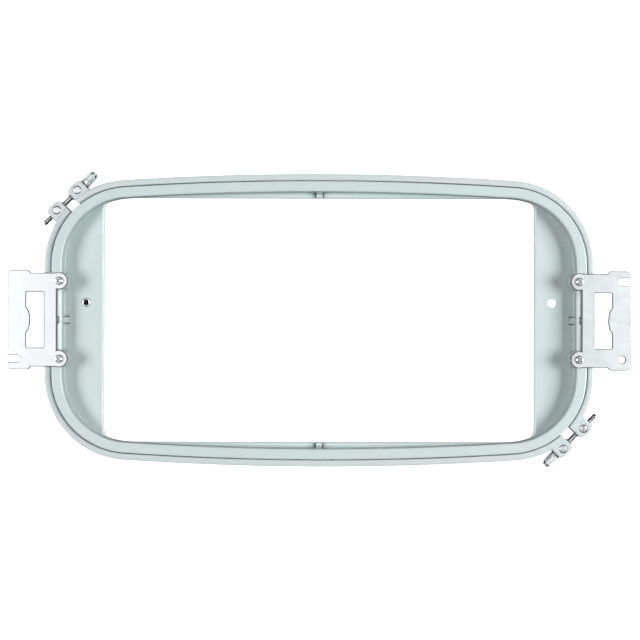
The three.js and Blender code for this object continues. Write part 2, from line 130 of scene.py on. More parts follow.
def rectangle(xs, ys):
    (x0, x1), (y0, y1) = sorted(xs), sorted(ys)
    return [(x0, y0), (x1, y0), (x1, y1), (x0, y1)]


def rounded(points, seg=6):
    """A polygon of (x, y, radius) corners as points."""
    out = []
    for i, (x, y, radius) in enumerate(points):
        if radius <= 0:
            out.append((x, y))
            continue
        tip = Vector((x, y))
        back = (Vector(points[i - 1][:2]) - tip).normalized()
        ahead = (Vector(points[(i + 1) % len(points)][:2]) - tip).normalized()
        corner = acos(max(-1, min(1, back.dot(ahead))))
        reach = radius / tan(corner / 2)
        mid = tip + (back + ahead).normalized() * (radius / sin(corner / 2))
        first, last = tip + back * reach - mid, tip + ahead * reach - mid
        start, end = atan2(first.y, first.x), atan2(last.y, last.x)
        turn = (end - start + pi) % (2 * pi) - pi
        for k in range(seg + 1):
            angle = start + turn * k / seg
            out.append((mid.x + radius * cos(angle), mid.y + radius * sin(angle)))
    return out


def bezier(start, control, end, steps):
    """Points after the start of a quadratic curve."""
    shares = [k / steps for k in range(1, steps + 1)]
    return [
        tuple((1 - t) ** 2 * p + 2 * t * (1 - t) * c + t * t * q
              for p, c, q in zip(start, control, end))
        for t in shares
    ]


def counterclockwise(points):
    clean = []
    for p in points:
        if not clean or dist(p, clean[-1]) > 1e-3:
            clean.append(p)
    if dist(clean[0], clean[-1]) <= 1e-3:
        clean.pop()
    turns = [clean[i - 1][0] * clean[i][1] - clean[i][0] * clean[i - 1][1]
             for i in range(len(clean))]
    return clean if sum(turns) > 0 else clean[::-1]


def inset(points, d):
    """A counterclockwise polygon moved inward by d, outward where d is negative."""
    out = []
    for i in range(len(points)):
        before, here = Vector(points[i - 1]), Vector(points[i])
        after = Vector(points[(i + 1) % len(points)])
        edge0, edge1 = (here - before).normalized(), (after - here).normalized()
        normal0, normal1 = Vector((-edge0.y, edge0.x)), Vector((-edge1.y, edge1.x))
        miter = (normal0 + normal1) / max(0.3, 1 + normal0.dot(normal1))
        out.append((here.x + d * miter.x, here.y + d * miter.y))
    return out


# ---- objects and booleans --------------------------------------------------
def link(name, data):
    obj = bpy.data.objects.new(name, data)
    bpy.context.scene.collection.objects.link(obj)
    return obj


@contextmanager
def editing(mesh):
    bm = bmesh.new()
    bm.from_mesh(mesh)
    yield bm
    bm.to_mesh(mesh)
    bm.free()


def solid(verts, faces):
    mesh = bpy.data.meshes.new("work")
    mesh.from_pydata(verts, [], faces)
    with editing(mesh) as bm:
        bmesh.ops.recalc_face_normals(bm, faces=bm.faces)
    return link("work", mesh)


def copy_of(obj):
    twin = obj.copy()
    twin.data = obj.data.copy()
    bpy.context.scene.collection.objects.link(twin)
    return twin


def boolean(body, tool, operation):
    """Applies the tool to the body and deletes the tool."""
    before = len(body.data.vertices), len(body.data.polygons)
    modifier = body.modifiers.new("boolean", "BOOLEAN")
    modifier.object, modifier.operation, modifier.solver = tool, operation, "MANIFOLD"
    bpy.context.view_layer.update()
    evaluated = body.evaluated_get(bpy.context.evaluated_depsgraph_get())
    mesh = bpy.data.meshes.new_from_object(evaluated)
    body.modifiers.clear()
    old, body.data = body.data, mesh
    bpy.data.meshes.remove(old)
    tool_mesh = tool.data
    bpy.data.objects.remove(tool)
    bpy.data.meshes.remove(tool_mesh)
    if (len(mesh.vertices), len(mesh.polygons)) == before or not mesh.polygons:
        raise RuntimeError(f"boolean {operation} changed nothing")
    return body


def cut(body, *tools):
    for tool in tools:
        boolean(body, tool, "DIFFERENCE")
    return body


def join(body, *tools):
    for tool in tools:
        boolean(body, tool, "UNION")


def clip(body, tool):
    boolean(body, tool, "INTERSECT")


def move(obj, matrix):
    obj.data.transform(matrix)
    return obj


def turned(obj, deg):
    return move(obj, Matrix.Rotation(radians(deg), 4, "Z"))


def at(obj, x, y, z=0.0):
    return move(obj, Matrix.Translation((x, y, z)))


def laid(obj, u):
    """Lays a Z-axis part along the tension screw, its z = 0 at u."""
    place = Matrix.Translation((u, SCREW_V, SCREW_Z))
    return move(obj, place @ Matrix.Rotation(radians(90), 4, "Y"))


# ---- solids ----------------------------------------------------------------
def bands(first, second, n):
    """Quads between two closed rows of n vertices that start at these indices."""
    return [(first + i, first + (i + 1) % n, second + (i + 1) % n, second + i) for i in range(n)]


def sweep(profile):
    """A closed section of (inset, height) pairs carried round the frame's outline."""
    verts = [(x, y, z) for d, z in profile for x, y in outline(d)]
    rows = len(profile)
    n = len(verts) // rows
    return solid(verts, [f for j in range(rows) for f in bands(j * n, (j + 1) % rows * n, n)])


def loft(sections):
    """Stacked outlines of equal count, [(points, z)], capped at both ends."""
    n, rows = len(sections[0][0]), len(sections)
    verts = [(x, y, z) for points, z in sections for x, y in points]
    faces = [tuple(reversed(range(n))), tuple(range(n * (rows - 1), n * rows))]
    for j in range(rows - 1):
        faces += bands(j * n, (j + 1) * n, n)
    return solid(verts, faces)


def box(xs, ys, zs):
    return loft([(rectangle(xs, ys), z) for z in zs])


def facet(angle, width, size=0.45):
    """Rim steps (inset, drop) from the side wall to the top: a small round, a shallow facet."""
    fall = width * tan(radians(angle))
    d = 0.3 * size + 0.16
    return [(0, fall + size + 0.12), (0.08 * size, fall + 0.45 * size + 0.1), (d, fall + 0.06),
            (d + width - 0.1, 0.055), (d + width + 0.14, 0)]


def round_foot(z, r):
    """Levels (inset, z) of a rounded lower rim, from z upward."""
    steps = [pi / 2 * i / 3 for i in range(3)]
    return [(r * (1 - sin(t)), z + r * (1 - cos(t))) for t in steps] + [(0, z + r)]


def round_rim(z, r, seg):
    """Levels (inset, z) of a rounded upper rim, up to z."""
    steps = [pi / 2 * i / seg for i in range(1, seg + 1)]
    return [(0, z - r)] + [(r * (1 - cos(t)), z - r + r * sin(t)) for t in steps]


def prism(points, z0, foot, rim):
    """An extruded polygon with a rounded foot and the given (inset, z) rim levels."""
    points = counterclockwise(points)
    return loft([(inset(points, d), z) for d, z in round_foot(z0, foot) + rim])


def flare(points, z0, z1, top, bottom, seg):
    """A cutter for a hole through z0..z1 whose rims are left rounded."""
    points = counterclockwise(points)
    beyond = 0.004
    levels = [(bottom, z0 - 3)] + round_foot(z0 - beyond, bottom)
    levels += round_rim(z1 + beyond, top, seg) + [(top, z1 + 4)]
    return loft([(inset(points, -d), z) for d, z in levels])


def lathe(profile, n=48, closed=False):
    """A turned solid about Z from (radius, height) pairs; open profiles are capped at the axis."""
    verts, rows = [], []
    for radius, z in profile:
        if radius < 1e-6:
            rows.append([len(verts)] * n)
            verts.append((0, 0, z))
        else:
            rows.append(list(range(len(verts), len(verts) + n)))
            turns = [2 * pi * i / n for i in range(n)]
            verts += [(radius * cos(t), radius * sin(t), z) for t in turns]
    faces = []
    for low, high in list(zip(rows, rows[1:])) + ([(rows[-1], rows[0])] if closed else []):
        for i in range(n):
            j = (i + 1) % n
            face = list(dict.fromkeys((low[i], low[j], high[j], high[i])))
            if len(face) > 2:
                faces.append(tuple(face))
    if not closed:
        for row in (rows[0], rows[-1]):
            if row[0] != row[-1]:
                centre = len(verts)
                verts.append((0, 0, verts[row[0]][2]))
                faces += [(row[i], row[(i + 1) % n], centre) for i in range(n)]
    return solid(verts, faces)


def field(heights, n, radius_at):
    """A turned solid about Z whose radius also varies round it: radius_at(z, share of turn)."""
    verts = [(0, 0, heights[0])]
    for z in heights:
        for i in range(n):
            radius = radius_at(z, i / n)
            verts.append((radius * cos(2 * pi * i / n), radius * sin(2 * pi * i / n), z))
    verts.append((0, 0, heights[-1]))
    faces = [(0, 1 + (i + 1) % n, 1 + i) for i in range(n)]
    for k in range(len(heights) - 1):
        faces += bands(1 + k * n, 1 + (k + 1) * n, n)
    last, tip = 1 + (len(heights) - 1) * n, len(verts) - 1
    faces += [(last + i, last + (i + 1) % n, tip) for i in range(n)]
    return solid(verts, faces)


def radius_on(profile, z):
    """Radius at z on a profile of (height, radius) pairs."""
    for (z0, r0), (z1, r1) in zip(profile, profile[1:]):
        if z <= z1:
            return r0 + (r1 - r0) * max(0.0, z - z0) / max(1e-9, z1 - z0)
    return profile[-1][1]


def thread_form(phase):
    """0 at the crest, 1 at the root of a thread, with straight flanks between."""
    share = phase % 1.0
    if share < 0.28:
        return 0.0
    if share < 0.50:
        return (share - 0.28) / 0.22
    if share < 0.78:
        return 1.0
    return 1.0 - (share - 0.78) / 0.22


def threaded_rod(profile, start, end, n):
    """profile is the plain (height, radius); the thread runs from start to end with run-outs."""
    z0, z1 = profile[0][0], profile[-1][0]
    steps = int((z1 - z0) / 0.09)
    heights = {round(z0 + (z1 - z0) * i / steps, 4) for i in range(steps + 1)}

    def radius_at(z, share):
        fade = max(0.0, min(1.0, (z - start) / 0.9, (end - z) / 1.2))
        cut_in = THREAD_DEPTH * fade * thread_form(z / THREAD_PITCH - share)
        return radius_on(profile, z) - cut_in

    return field(sorted(heights | {z for z, _ in profile}), n, radius_at)


# ---- procedural materials ------------------------------------------------
class Nodes:
    """Builds the node tree of a material or world."""

    def __init__(self, owner, output="OutputMaterial"):
        owner.use_nodes = True
        self.owner, self.tree = owner, owner.node_tree
        self.tree.nodes.clear()
        self.surface = self.tree.nodes.new("ShaderNode" + output).inputs["Surface"]
        self.coords = self.outputs("TexCoord")

    def feed(self, socket, value):
        if isinstance(value, bpy.types.NodeSocket):
            self.tree.links.new(value, socket)
            return
        if socket.type == "RGBA" and len(value) == 3:
            value = (*value, 1.0)
        socket.default_value = value

    def outputs(self, kind, inputs=None, **props):
        node = self.tree.nodes.new("ShaderNode" + kind)
        for name, value in props.items():
            setattr(node, name, value)
        for key, value in (inputs or {}).items():
            self.feed(node.inputs[key], value)
        return node.outputs

    def node(self, kind, inputs=None, out=0, **props):
        return self.outputs(kind, inputs, **props)[out]

    def math(self, operation, a, b=0.0, clamp=False):
        return self.node("Math", {0: a, 1: b}, operation=operation, use_clamp=clamp)

    def mix(self, share, a, b):
        # Inputs 6 and 7 and output 2 are the Mix node's colour sockets.
        return self.node("Mix", {0: share, 6: a, 7: b}, out=2, data_type="RGBA")

    def noise(self, scale=1.0, detail=2.0, rough=0.5, vector=None, offset=None):
        vector = vector or self.coords["Object"]
        if offset:
            vector = self.node("VectorMath", {0: vector, 1: offset}, operation="ADD")
        return self.node("TexNoise", {"Vector": vector, "Scale": scale, "Detail": detail,
                                      "Roughness": rough})

    def stretch(self, scale, turn=0):
        """Object coordinates scaled per axis and turned about Z."""
        return self.node("Mapping", {"Vector": self.coords["Object"], "Scale": scale,
                                     "Rotation": (0, 0, turn)})

    def span(self, value, source, to=(0.0, 1.0)):
        """Maps the source range to another range, clamped."""
        return self.node("MapRange", {0: value, 1: source[0], 2: source[1], 3: to[0], 4: to[1]})

    def bump(self, height, distance, strength=1.0, normal=None):
        inputs = {"Height": height, "Distance": distance, "Strength": strength}
        if normal is not None:
            inputs["Normal"] = normal
        return self.node("Bump", inputs)

    def edge(self, pointiness):
        return self.span(self.node("NewGeometry", out="Pointiness"), pointiness)

    def facing(self):
        """Z of the surface normal."""
        normal = self.node("NewGeometry", out="Normal")
        return self.node("SeparateXYZ", {0: normal}, out=2)

    def crevice(self, distance, samples=4):
        ao = self.node("AmbientOcclusion", {"Distance": distance}, out="AO", samples=samples)
        return self.math("SUBTRACT", 1.0, ao)

    def finish(self, **inputs):
        named = {name.replace("_", " "): value for name, value in inputs.items()}
        self.feed(self.surface, self.node("BsdfPrincipled", named))
        return self.owner


def shade(colour, *factors):
    return tuple(min(1, c * f) for c, f in zip(colour, factors))


def plastic(name, base, seed, rough):
    """Satin moulded plastic: colour drift, fine grain, scratches, a painted highlight on edges,
    painted shade in crevices and on steep walls.
    """
    m = Nodes(bpy.data.materials.new(name))
    drift = m.noise(scale=13.0, detail=2.5, rough=0.55, offset=(seed, 3.1, 0.4))
    fine_drift = m.noise(scale=31.0, offset=(1.7, seed, 2.2))
    cool, warm = shade(base, 0.965, 1.005, 1.0), shade(base, 1.035, 0.985, 1.01)
    colour = m.mix(m.span(drift, (0.38, 0.62)), cool, warm)
    colour = m.mix(m.span(fine_drift, (0.35, 0.65), to=(0.0, 0.5)), colour,
                   shade(base, 0.985, 1.0, 1.02))
    speck = m.noise(scale=1400.0, detail=3.0, rough=0.6)
    colour = m.mix(m.span(speck, (0.3, 0.75), to=(0.0, 0.12)), colour,
                   shade(base, 0.93, 0.94, 0.94))
    # Painted highlight: rounded edges are lighter in colour.
    edge = m.edge(pointiness=(0.51, 0.58))
    colour = m.mix(m.math("MULTIPLY", edge, 0.7), colour, shade(base, 1.2, 1.12, 1.13))
    # Painted shade in crevices and in the gaps between parts, in patches, but not on faces that look
    # down.
    facing = m.facing()
    painted_crevice_shade = m.math("MULTIPLY", m.span(m.crevice(distance=0.004), (0.42, 0.85)),
                  m.span(facing, (-0.6, -0.1)))
    patches = m.span(m.noise(scale=160.0, detail=3.0), (0.35, 0.7), to=(0.72, 0.92))
    colour = m.mix(m.math("MULTIPLY", painted_crevice_shade, patches), colour, shade(base, 0.17, 0.18, 0.17))
    # Painted shade: steep walls are darker.
    steep = m.span(m.math("ABSOLUTE", facing), (0.8, 0.25), to=(0.0, 0.6))
    colour = m.mix(steep, colour, shade(base, 0.44, 0.45, 0.45))
    # Hairline scratches in two directions.
    lines_y = m.noise(vector=m.stretch((2600, 55, 900), turn=0.35))
    lines_x = m.noise(vector=m.stretch((70, 2300, 900), turn=-0.5))
    hair = m.math("MAXIMUM", m.span(lines_y, (0.73, 0.78)), m.span(lines_x, (0.74, 0.79)))
    gloss = m.span(m.noise(scale=55.0, detail=4.0, rough=0.6), (0.3, 0.7),
                   to=(rough - 0.05, rough + 0.08))
    gloss = m.math("ADD", gloss, m.math("MULTIPLY", hair, 0.12))
    gloss = m.math("SUBTRACT", gloss, m.math("MULTIPLY", edge, 0.08))
    grain = m.noise(scale=3200.0)
    waves = m.noise(scale=38.0, offset=(seed, seed, 0))
    normal = m.bump(waves, distance=0.00012, strength=0.6)
    normal = m.bump(grain, distance=0.000006, strength=0.5, normal=normal)
    normal = m.bump(m.math("MULTIPLY", hair, -1.0), distance=0.000004, strength=0.6,
                    normal=normal)
    return m.finish(Base_Color=colour, Roughness=gloss, IOR=1.5, Normal=normal,
                    Specular_IOR_Level=0.5)


def metal(name, base, rough, grain, grain_depth, smudge=0.5, cavity=0.0015, cavity_mix=0.7,
          tint=None, wall=0.0, spot=0.25, turn=(0.86, 0.45), dark=(0.10, 0.105, 0.11), dull=0.0):
    """Metal with grain, smudges, a painted highlight on edges and painted shade in cavities.

    cavity is the reach of the painted cavity shade; wall is how far steep faces go to the dark
    colour, a painted dark reflection and shade, turn the range of |normal z| over which they do, and
    dull the roughness they gain.
    """
    m = Nodes(bpy.data.materials.new(name))
    facing = m.facing()
    cloud = m.noise(scale=60.0, detail=3.0, rough=0.6)
    colour = m.mix(m.span(cloud, (0.35, 0.65)), tint or shade(base, 0.965, 0.97, 0.975), base)
    spots = m.noise(scale=900.0, detail=3.0, rough=0.6)
    colour = m.mix(m.span(spots, (0.62, 0.74), to=(0.0, spot)), colour,
                   shade(base, 0.8, 0.8, 0.8))
    # Painted highlight: rounded edges are lighter in colour.
    edge = m.edge(pointiness=(0.52, 0.60))
    colour = m.mix(m.math("MULTIPLY", edge, 0.5), colour, shade(base, 1.08, 1.08, 1.08))
    # Painted dark reflection and shade: steep faces go towards the dark colour.
    if wall:
        side = m.span(m.math("ABSOLUTE", facing), turn, to=(0.0, wall))
        colour = m.mix(side, colour, dark)
    # Painted shade in cavities, not on faces that look down.
    painted_cavity_shade = m.math("MULTIPLY", m.span(m.crevice(cavity), (0.3, 0.75), to=(0.0, cavity_mix)),
                  m.span(facing, (-0.9, -0.6)))
    colour = m.mix(painted_cavity_shade, colour, (0.10, 0.10, 0.10))
    smear = m.noise(detail=4.0, rough=0.6, vector=m.stretch((90, 240, 90), turn=0.6))
    gloss = m.span(smear, (0.3, 0.72), to=(rough - 0.03, rough + 0.10 * smudge))
    gloss = m.math("ADD", gloss, m.span(spots, (0.45, 0.8), to=(0.0, 0.06)))
    gloss = m.math("SUBTRACT", gloss, m.math("MULTIPLY", edge, 0.05))
    if dull:
        gloss = m.math("ADD", gloss, m.math("MULTIPLY", side, dull), clamp=True)
    lines = m.noise(detail=3.0, rough=0.7, vector=m.stretch(grain))
    normal = m.bump(lines, distance=grain_depth)
    normal = m.bump(m.noise(scale=420.0), distance=0.000002, strength=0.5, normal=normal)
    return m.finish(Base_Color=colour, Metallic=1.0, Roughness=gloss, Normal=normal)


def rubber(name):
    """Near-black rubber with pale dust."""
    m = Nodes(bpy.data.materials.new(name))
    dust = m.span(m.noise(scale=1500.0, detail=3.0, rough=0.65), (0.55, 0.75), to=(0.0, 0.35))
    colour = m.mix(dust, (0.004, 0.004, 0.005), (0.02, 0.02, 0.02))
    normal = m.bump(m.noise(scale=2600.0, detail=3.0, rough=0.6), distance=0.00003, strength=0.7)
    gloss = m.span(m.noise(scale=300.0), (0.3, 0.7), to=(0.55, 0.8))
    return m.finish(Base_Color=colour, Roughness=gloss, Normal=normal, Specular_IOR_Level=0.12)


EVEN_GRAIN = (2600, 2600, 2600)
# In the metal settings, wall, turn and dark set the painted dark reflection and shade on steep faces,
# and cavity and cavity_mix the painted shade in cavities.
MATERIALS = {
    "outer_ring_plastic": (plastic, dict(base=(0.615, 0.668, 0.68), seed=4.7, rough=0.38)),
    "inner_frame_plastic": (plastic, dict(base=(0.61, 0.70, 0.695), seed=0.0, rough=0.36)),
    "bracket_steel": (metal, dict(
        base=(0.915, 0.93, 0.95), rough=0.31, grain=(30, 3000, 3000), grain_depth=0.0000006,
        smudge=0.45, wall=0.88, spot=0.06, turn=(0.9985, 0.978), dark=(0.10, 0.103, 0.11),
        dull=0.6)),
    "bracket_screw_steel": (metal, dict(
        base=(0.92, 0.93, 0.935), rough=0.24, grain=(2400, 2400, 400), grain_depth=0.0000012,
        smudge=0.3, cavity=0.0012, cavity_mix=0.9, wall=0.85, turn=(0.86, 0.55), spot=0.08,
        dark=(0.07, 0.07, 0.075))),
    "insert_brass": (metal, dict(
        base=(0.80, 0.62, 0.32), rough=0.3, grain=(2600, 2600, 500), grain_depth=0.000003,
        tint=(0.7, 0.52, 0.25))),
    "bush_nickel": (metal, dict(
        base=(0.86, 0.88, 0.89), rough=0.34, grain=(2400, 2400, 400), grain_depth=0.0000010,
        smudge=0.3, wall=0.95, turn=(0.9, 0.62), dark=(0.06, 0.062, 0.065), spot=0.08)),
    "plug_rubber": (rubber, {}),
    "barrel_nickel": (metal, dict(
        base=(0.95, 0.955, 0.965), rough=0.2, grain=(2200, 2200, 300), grain_depth=0.0000008,
        smudge=0.3, cavity=0.0016, cavity_mix=0.95, spot=0.1)),
    # Dark oxide steel; its dark base also paints the shade in the gap between knob and lug.
    "small_steel": (metal, dict(
        base=(0.36, 0.365, 0.37), rough=0.26, grain=EVEN_GRAIN, grain_depth=0.000002,
        wall=0.8, dark=(0.03, 0.03, 0.032))),
    # Its green tint is a painted reflection of the frame, and its dark sides are a painted dark
    # reflection.
    "knob_nickel": (metal, dict(
        base=(0.66, 0.72, 0.71), rough=0.42, grain=EVEN_GRAIN, grain_depth=0.000002,
        cavity=0.0007, cavity_mix=0.75, wall=1.0, turn=(0.84, 0.56),
        dark=(0.010, 0.010, 0.011), dull=0.1)),
    "shank_steel": (metal, dict(
        base=(0.86, 0.87, 0.88), rough=0.13, grain=EVEN_GRAIN, grain_depth=0.000001,
        smudge=0.4, cavity=0.0005, cavity_mix=0.6, wall=1.0, turn=(0.93, 0.72),
        dark=(0.004, 0.004, 0.005), dull=0.15)),
}
MATERIAL = {slot: make(slot, **settings) for slot, (make, settings) in MATERIALS.items()}


def poke_unstable(mesh):
    """Cuts small faces from their middle if triangles would share an edge with a neighbour's."""
    mesh.calc_loop_triangles()
    users = {}
    for tri in mesh.loop_triangles:
        for i, j in ((0, 1), (1, 2), (2, 0)):
            edge = frozenset((tri.vertices[i], tri.vertices[j]))
            users.setdefault(edge, []).append(tri.polygon_index)
    twice = sorted({p for polys in users.values() if len(polys) > 2 for p in polys
                    if polys.count(p) == 2 and len(mesh.polygons[p].vertices) < 7})
    if twice:
        with editing(mesh) as bm:
            bm.faces.ensure_lookup_table()
            bmesh.ops.poke(bm, faces=[bm.faces[p] for p in twice])


def piece(obj, node, slot):
    """Scales a finished solid to metres and puts it in the place of its CAD node."""
    mesh = obj.data
    with editing(mesh) as bm:
        bmesh.ops.dissolve_degenerate(bm, dist=0.0008, edges=bm.edges)
    mesh.transform(Matrix.Scale(0.001, 4))
    poke_unstable(mesh)
    mesh.materials.clear()
    mesh.materials.append(MATERIAL[slot])
    mesh.shade_smooth()
    mesh.set_sharp_from_angle(angle=radians(32))
    obj.name = mesh.name = node + "_visual"
    obj.modifiers.new("normals", "WEIGHTED_NORMAL").keep_sharp = True
    tolerance = 0.0012
    for i, (low, high) in enumerate(zip(*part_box(node))):
        along = [v.co[i] for v in mesh.vertices]
        if abs(min(along) - low) > tolerance or abs(max(along) - high) > tolerance:
            raise RuntimeError(f"{node} does not fill its CAD box on axis {i}")
    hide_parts(node)
    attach(obj, BODY_OF[node])


# ---- outer ring halves ----------------------------------------------------
def ring_section(d0, d1, z0, z1, rim0, rim1, chamfer):
    """(inset, z) section of a ring with faceted top edges and small bottom chamfers."""
    section = [(d0 + chamfer, z0), (d0, z0 + chamfer)]
    section += [(d0 + d, z1 - drop) for d, drop in rim0]
    section += [(d1 - d, z1 - drop) for d, drop in reversed(rim1)]
    return section + [(d1, z0 + chamfer), (d1 - chamfer, z0)]


def lug_shape(lug_u, far):
    """Lug footprint in u, v: crowned outer face, hollow fillet on the side of sign far."""
    half = LUG_L / 2
    edge, foot, r = LUG_V1 - 1.3, 214.5, 2.4
    points = [(-half, LUG_V0), (half + LUG_FILLET, LUG_V0), (half + LUG_FILLET, foot - 0.6)]
    points += bezier(points[-1], (half, foot + 0.6), (half, foot + LUG_FILLET + 0.8), 10)
    points.append((half, edge - r))
    points += bezier(points[-1], (half, edge + 0.1), (half - r, edge + 0.3), 7)
    points += bezier(points[-1], (0, LUG_V1 + 0.65), (-half + r, edge + 0.3), 12)
    points += bezier(points[-1], (-half, edge + 0.1), (-half, edge - r), 7)
    return counterclockwise([(lug_u + far * u, v) for u, v in points])


def gap_middle(corner):
    turn, head_u, nut_u = CORNERS[corner]
    return Matrix.Rotation(radians(turn), 2) @ Vector(((head_u + nut_u) / 2, 217))


def end_rounder(turn, head_u):
    """Cutter that rounds the ring's end by the knob-side lug towards the inner frame."""
    end_u, r = head_u - LUG_L / 2, 2.9
    side = 1 if turn == 45 else -1
    centre = Matrix.Rotation(radians(-turn), 2) @ Vector((-side * CORNER_X, side * CORNER_Y))
    inner_v = centre.y + sqrt((CORNER_R - OUTER_W) ** 2 - (end_u - centre.x) ** 2)
    cutter = box((end_u - 1, end_u + r), (inner_v - 3, inner_v + r), (-5, 30))
    round_part = loft([(circle(0, 0, r, 40), -6), (circle(0, 0, r, 40), 31)])
    return turned(cut(cutter, at(round_part, end_u + r, inner_v + r)), turn)


def outer_half(head_corner, nut_corner):
    """Half ring with the knob-side lug at one corner and the nut-side lug at the other."""
    ring = sweep(ring_section(0, OUTER_W, OUTER_Z0, OUTER_Z1, facet(18.5, 0.8),
                              facet(34, 0.5, 0.35), 0.4))
    half, z0, z1 = LUG_L / 2, OUTER_Z0, LUG_Z1
    head_turn, head_u, _ = CORNERS[head_corner]
    nut_turn, _, nut_u = CORNERS[nut_corner]
    for turn, head, nut in (CORNERS[head_corner], CORNERS[nut_corner]):
        cut(ring, turned(box((nut + half, head - half), (195, 245), (-5, 30)), turn))
    start, end = gap_middle(head_corner), gap_middle(nut_corner)
    along = Matrix.Rotation(atan2(end.y - start.y, end.x - start.x), 4, "Z")
    clip(ring, move(box((-400, 900), (0, 600), (-10, 40)),
                    Matrix.Translation((start.x, start.y, 0)) @ along))
    lugs = ((head_turn, head_u, 1), (nut_turn, nut_u, -1))
    for turn, lug_u, far in lugs:
        rim = [(d, z1 - drop) for d, drop in facet(22, 0.65)]
        lug = turned(prism(lug_shape(lug_u, far), z0 + 0.02, 0.4, rim), turn)
        cut(lug, loft([(outline(OUTER_W - 0.1), z) for z in (-5, 30)]))
        join(ring, lug)
    cut(ring, end_rounder(head_turn, head_u))
    r, hole_r = LUG_BORE_R, LUG_SCREW_R
    for turn, lug_u, _ in lugs:
        bore = lathe([(0, z0 - 2), (r + 0.3, z0 - 2), (r + 0.3, z0), (r + 0.06, z0 + 0.35),
                      (r + 0.06, z1 - 0.2), (r + 0.12, z1 - 0.08), (r + 0.22, z1 + 0.01),
                      (r + 0.22, z1 + 3), (0, z1 + 3)], 56)
        cut(ring, turned(at(bore, lug_u, SCREW_V), turn))
        hole = lathe([(0, -half - 2), (hole_r + 0.4, -half - 2), (hole_r + 0.4, -half),
                      (hole_r, -half + 0.4), (hole_r, half - 0.4), (hole_r + 0.4, half),
                      (hole_r + 0.4, half + 2), (0, half + 2)], 40)
        cut(ring, turned(laid(hole, lug_u), turn))
    return ring


piece(outer_half("a", "b"), "outer_ring_upper", "outer_ring_plastic")
piece(outer_half("b", "a"), "outer_ring_lower", "outer_ring_plastic")


# ---- inner frame -------------------------------------------------------------
def channel_ring():
    """The frame's ring: two walls under a top web, open below."""
    section = ring_section(FRAME_OUT, FRAME_IN, 0, FRAME_H, facet(18.5, 0.7), facet(34, 0.75), 0.3)
    d0, d1, web_z, bevel = FRAME_OUT + WALL_T, FRAME_IN - WALL_T, FRAME_H - WEB_T, 0.6
    knee = bevel * 0.3
    section += [(d1 + 0.25, 0), (d1, 0.25), (d1, web_z - bevel), (d1 - knee, web_z - knee),
                (d1 - bevel, web_z), (d0 + bevel, web_z), (d0 + knee, web_z - knee),
                (d0, web_z - bevel), (d0, 0.25), (d0 - 0.25, 0)]
    return sweep(section)


def ribs():
    """Cross ribs inside the channel."""
    out, inner = FRAME_OUT + 1.2, FRAME_IN - 1.2
    thick, zs = (-0.9, 0.9), (0.25, FRAME_H - 1.4)
    parts = []
    for x in (-150, -100, -50, 0, 50, 100, 150):
        side_y = HALF_Y - (LONG_R - sqrt(LONG_R * LONG_R - x * x))
        for s in (1, -1):
            parts.append(box((x - 0.9, x + 0.9), (s * (side_y - out), s * (side_y - inner)), zs))
    for sx in (1, -1):
        parts.append(box((sx * (HALF_X - out), sx * (HALF_X - inner)), thick, zs))
        for sy in (1, -1):
            for deg in (30, 60):
                rib = box((CORNER_R - inner, CORNER_R - out), thick, zs)
                turn = degrees(atan2(sy * sin(radians(deg)), sx * cos(radians(deg))))
                parts.append(at(turned(rib, turn), sx * CORNER_X, sy * CORNER_Y))
    return parts


def floor_panel():
    """Side panels and narrow ledge, filleted to the wall, with a soft rim round the opening."""
    panel = loft([(outline(FRAME_IN - 0.6), z) for z in (0.02, PANEL_T)])
    r = 0.8
    fillet = [(FRAME_IN - 0.5, PANEL_T - 0.7), (FRAME_IN - 0.5, PANEL_T + r)]
    steps = [pi / 2 * i / 5 for i in range(6)]
    curve = [(FRAME_IN + r - r * cos(t), PANEL_T + r - r * sin(t)) for t in steps]
    curve += [(FRAME_IN + r + 0.3, PANEL_T), (FRAME_IN + r + 0.3, PANEL_T - 0.7)]
    fillet += [(d, z - 0.002) for d, z in curve]  # sunk so that it is not flush with the panel
    join(panel, sweep(fillet))
    signs = ((1, -1), (1, 1), (-1, 1), (-1, -1))
    hole = counterclockwise(rounded([(sx * OPEN_X, sy * OPEN_Y, OPEN_R) for sx, sy in signs], 16))
    rim = [  # inset, z
        (0, -3), (0, 0.02), (0.28, 0.1), (0.4, 0.35), (0.02, PANEL_T - 1.05),
        (-0.05, PANEL_T - 0.88), (-0.22, PANEL_T - 0.7), (-1.18, PANEL_T - 0.05),
        (-1.4, PANEL_T + 0.005), (-1.4, PANEL_T + 4),
    ]
    return cut(panel, loft([(inset(hole, d), z) for d, z in rim]))


def add_bosses(ring):
    """Bosses for the bracket screws, trimmed to the ring's outer face, and their bores."""
    top, e = FRAME_H, 0.35
    for x, y in BOSSES:
        boss = lathe([(0, 0.03), (BOSS_R - 0.3, 0.03), (BOSS_R, 0.33), (BOSS_R, top - e),
                      (BOSS_R - e * 0.3, top - e * 0.3), (BOSS_R - e, top), (0, top)], 64)
        at(boss, x, y)
        clip(boss, loft([(outline(FRAME_OUT + 0.06), z) for z in (-5, 40)]))
        join(ring, boss)
    bottom = top - INSERT_L - 1.2
    for x, y in BOSSES:
        bore = lathe([(0, bottom), (INSERT_R + 0.06, bottom), (INSERT_R + 0.06, top - 0.3),
                      (INSERT_R + 0.5, top + 0.14), (INSERT_R + 0.5, top + 2), (0, top + 2)], 40)
        cut(ring, at(bore, x, y))


